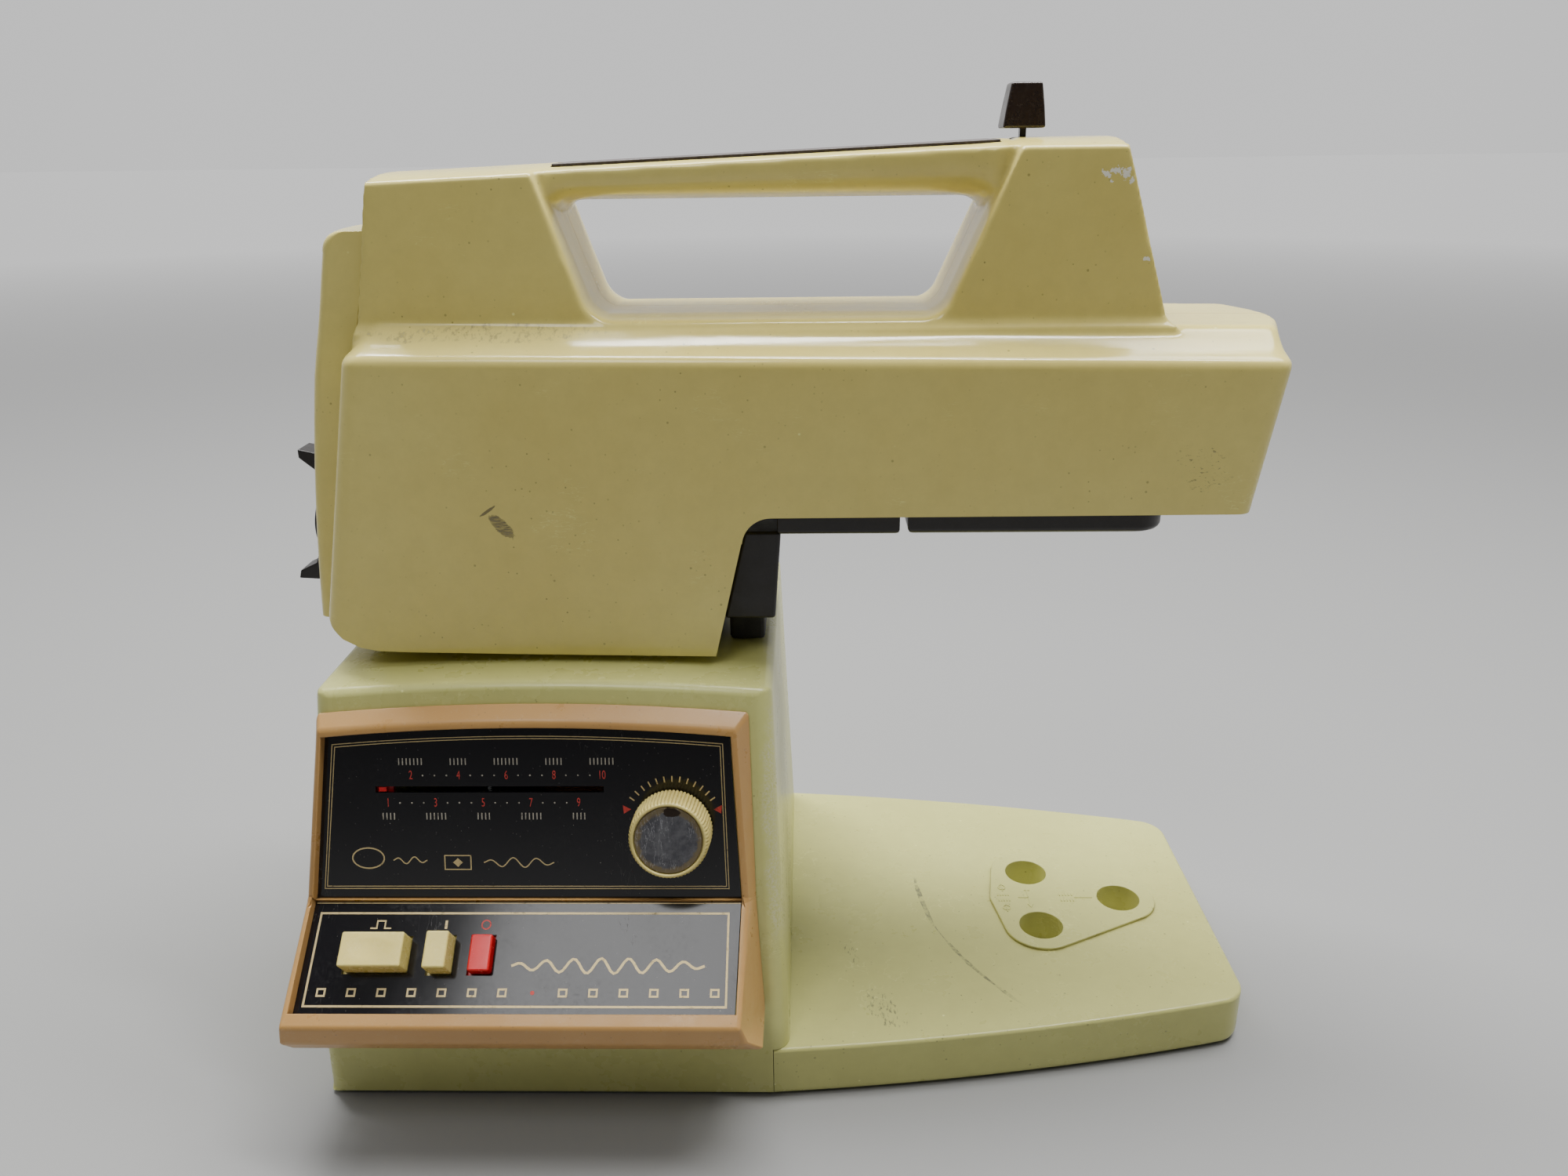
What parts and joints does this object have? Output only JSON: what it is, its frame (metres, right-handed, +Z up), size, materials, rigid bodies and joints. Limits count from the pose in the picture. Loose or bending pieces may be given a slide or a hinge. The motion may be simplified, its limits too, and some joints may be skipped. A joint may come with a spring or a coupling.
{
  "type": "kitchen machine",
  "caption": "Kitchen mixing machine: a motor base with a sloping speed panel and a bowl platform, and a handled mixer arm that tilts back.",
  "frame": {"origin": "on the ground under the middle of the object's bounding box", "axes": "+X along the bowl platform, away from the motor tower; -Y is the speed panel's side; +Z is up"},
  "size_m": [0.4533, 0.2634, 0.432],
  "materials": {
    "base_cream": "moulded plastic, aged cream with a grey-green cast, semi gloss, lightly scuffed",
    "arm_cream": "moulded plastic, yellowed cream, glossy, with grey smears and fine scratches",
    "tan_plastic": "moulded tan plastic, satin",
    "black_panel": "black printed panel with gold lines, dusty gloss",
    "button_cream": "cream push button, glossy",
    "knob_cream": "fine-ribbed cream knob rim, satin",
    "red_plastic": "red plastic, glossy",
    "dark_brown": "dark brown moulded plastic, satin",
    "rubber": "black rubber, matt",
    "steel": "machined steel",
    "bronze": "sintered bronze",
    "copper": "varnished copper winding",
    "aluminium": "spun aluminium, worn at the rim"
  },
  "bodies": {
    "base": {"motor_housing": "base_cream", "bottom_plate": "dark_brown", "bowl_platform": "base_cream", "foot_front_left": "rubber", "foot_rear_left": "rubber", "foot_front_right": "rubber", "foot_rear_right": "rubber", "cord_gland": "rubber", "panel_bezel": "tan_plastic", "upper_panel": "black_panel", "lower_panel": "black_panel", "switch_block": "dark_brown", "speed_control_can": "aluminium", "motor_stator": "steel", "field_coil_lower": "copper", "field_coil_upper": "copper", "lower_bush": "bronze", "upper_bush": "bronze", "motor_lower_bracket": "aluminium", "motor_upper_bracket": "aluminium", "motor_tie_rod_left": "steel", "motor_tie_rod_right": "steel", "hinge_bracket": "dark_brown", "arm_rest_pad": "rubber", "plate_screw_1": "steel", "plate_screw_2": "steel", "plate_screw_3": "steel", "plate_screw_4": "steel"},
    "mixer_arm": {"arm_near_half": "arm_cream", "arm_far_half": "arm_cream", "arm_end_cap": "arm_cream", "outlet_bush": "bronze", "rear_underside_cover": "dark_brown", "front_underside_cover": "dark_brown", "leg_skirt": "dark_brown", "lever_pin": "steel", "hinge_pin": "steel", "gearcase": "aluminium", "leg_frame": "aluminium", "handle_inlay": "dark_brown", "arm_screw_1": "steel", "arm_screw_2": "steel", "arm_screw_3": "steel", "arm_screw_4": "steel"},
    "speed_knob": {"speed_knob": "knob_cream", "knob_cap": "aluminium"},
    "speed_pointer": {"speed_pointer": "red_plastic"},
    "pulse_button": {"pulse_button": "button_cream"},
    "on_button": {"on_button": "button_cream"},
    "off_button": {"off_button": "red_plastic"},
    "ejector_lever": {"ejector_lever": "dark_brown"},
    "outlet_ring": {"outlet_lock_ring": "dark_brown"},
    "motor_rotor": {"armature": "steel", "motor_fan": "dark_brown", "drive_socket": "rubber"},
    "input_shaft": {"input_shaft": "steel"},
    "arm_shaft": {"arm_shaft": "steel"},
    "spindle_near": {"beater_spindle_near": "steel"},
    "spindle_far": {"beater_spindle_far": "steel"},
    "outlet_shaft": {"outlet_shaft": "steel"}
  },
  "joints": [
    {"name": "head_tilt", "type": "hinge", "parent": "base", "child": "mixer_arm", "pos_m": [-0.1818, 0.01565, 0.208], "axis": [0, -1, 0], "range_deg": [0, 40]},
    {"name": "speed_turn", "type": "hinge", "parent": "base", "child": "speed_knob", "pos_m": [-0.0414, -0.07689, 0.13142], "axis": [0, 0.9703, -0.2419], "range_deg": [0, 300]},
    {"name": "pointer_slide", "type": "slide", "parent": "base", "child": "speed_pointer", "axis": [1, 0, 0], "range_m": [0, 0.094]},
    {"name": "pulse_press", "type": "slide", "parent": "base", "child": "pulse_button", "axis": [0, 0.6198, -0.7848], "range_m": [0, 0.004], "stiffness_N_per_m": 400},
    {"name": "on_press", "type": "slide", "parent": "base", "child": "on_button", "axis": [0, 0.6198, -0.7848], "range_m": [0, 0.004], "stiffness_N_per_m": 400},
    {"name": "off_press", "type": "slide", "parent": "base", "child": "off_button", "axis": [0, 0.6198, -0.7848], "range_m": [0, 0.003], "stiffness_N_per_m": 400},
    {"name": "ejector_tilt", "type": "hinge", "parent": "mixer_arm", "child": "ejector_lever", "pos_m": [0.1092, 0.01565, 0.384], "axis": [0, 1, 0], "range_deg": [0, 12], "stiffness_Nm_per_rad": 0.6},
    {"name": "outlet_ring_turn", "type": "hinge", "parent": "mixer_arm", "child": "outlet_ring", "pos_m": [-0.2072, 0.01565, 0.246], "axis": [-0.9903, 0, 0.1392], "range_deg": [0, 60]},
    {"name": "motor_spin", "type": "hinge", "parent": "base", "child": "motor_rotor", "pos_m": [-0.0958, 0.01565, 0.087], "axis": [0, 0, 1], "continuous": true},
    {"name": "input_spin", "type": "hinge", "parent": "mixer_arm", "child": "input_shaft", "pos_m": [-0.0958, 0.01565, 0.242], "axis": [0, 0, 1], "continuous": true},
    {"name": "arm_shaft_spin", "type": "hinge", "parent": "mixer_arm", "child": "arm_shaft", "pos_m": [-0.0858, 0.01565, 0.292], "axis": [1, 0, 0], "continuous": true},
    {"name": "spindle_near_spin", "type": "hinge", "parent": "mixer_arm", "child": "spindle_near", "pos_m": [0.1232, -0.00535, 0.277], "axis": [0, 0, 1], "continuous": true},
    {"name": "spindle_far_spin", "type": "hinge", "parent": "mixer_arm", "child": "spindle_far", "pos_m": [0.1232, 0.03665, 0.277], "axis": [0, 0, 1], "continuous": true},
    {"name": "outlet_shaft_spin", "type": "hinge", "parent": "mixer_arm", "child": "outlet_shaft", "pos_m": [-0.2072, 0.01565, 0.246], "axis": [-0.9903, 0, 0.1392], "continuous": true}
  ],
  "couplings": [
    {"joint": "pointer_slide", "follows": "speed_turn", "m_per_rad": 0.01795},
    {"joint": "input_spin", "follows": "motor_spin", "ratio": 1},
    {"joint": "arm_shaft_spin", "follows": "motor_spin", "ratio": 1},
    {"joint": "spindle_near_spin", "follows": "motor_spin", "ratio": -0.071429},
    {"joint": "spindle_far_spin", "follows": "motor_spin", "ratio": 0.071429},
    {"joint": "outlet_shaft_spin", "follows": "motor_spin", "ratio": 0.05}
  ]
}
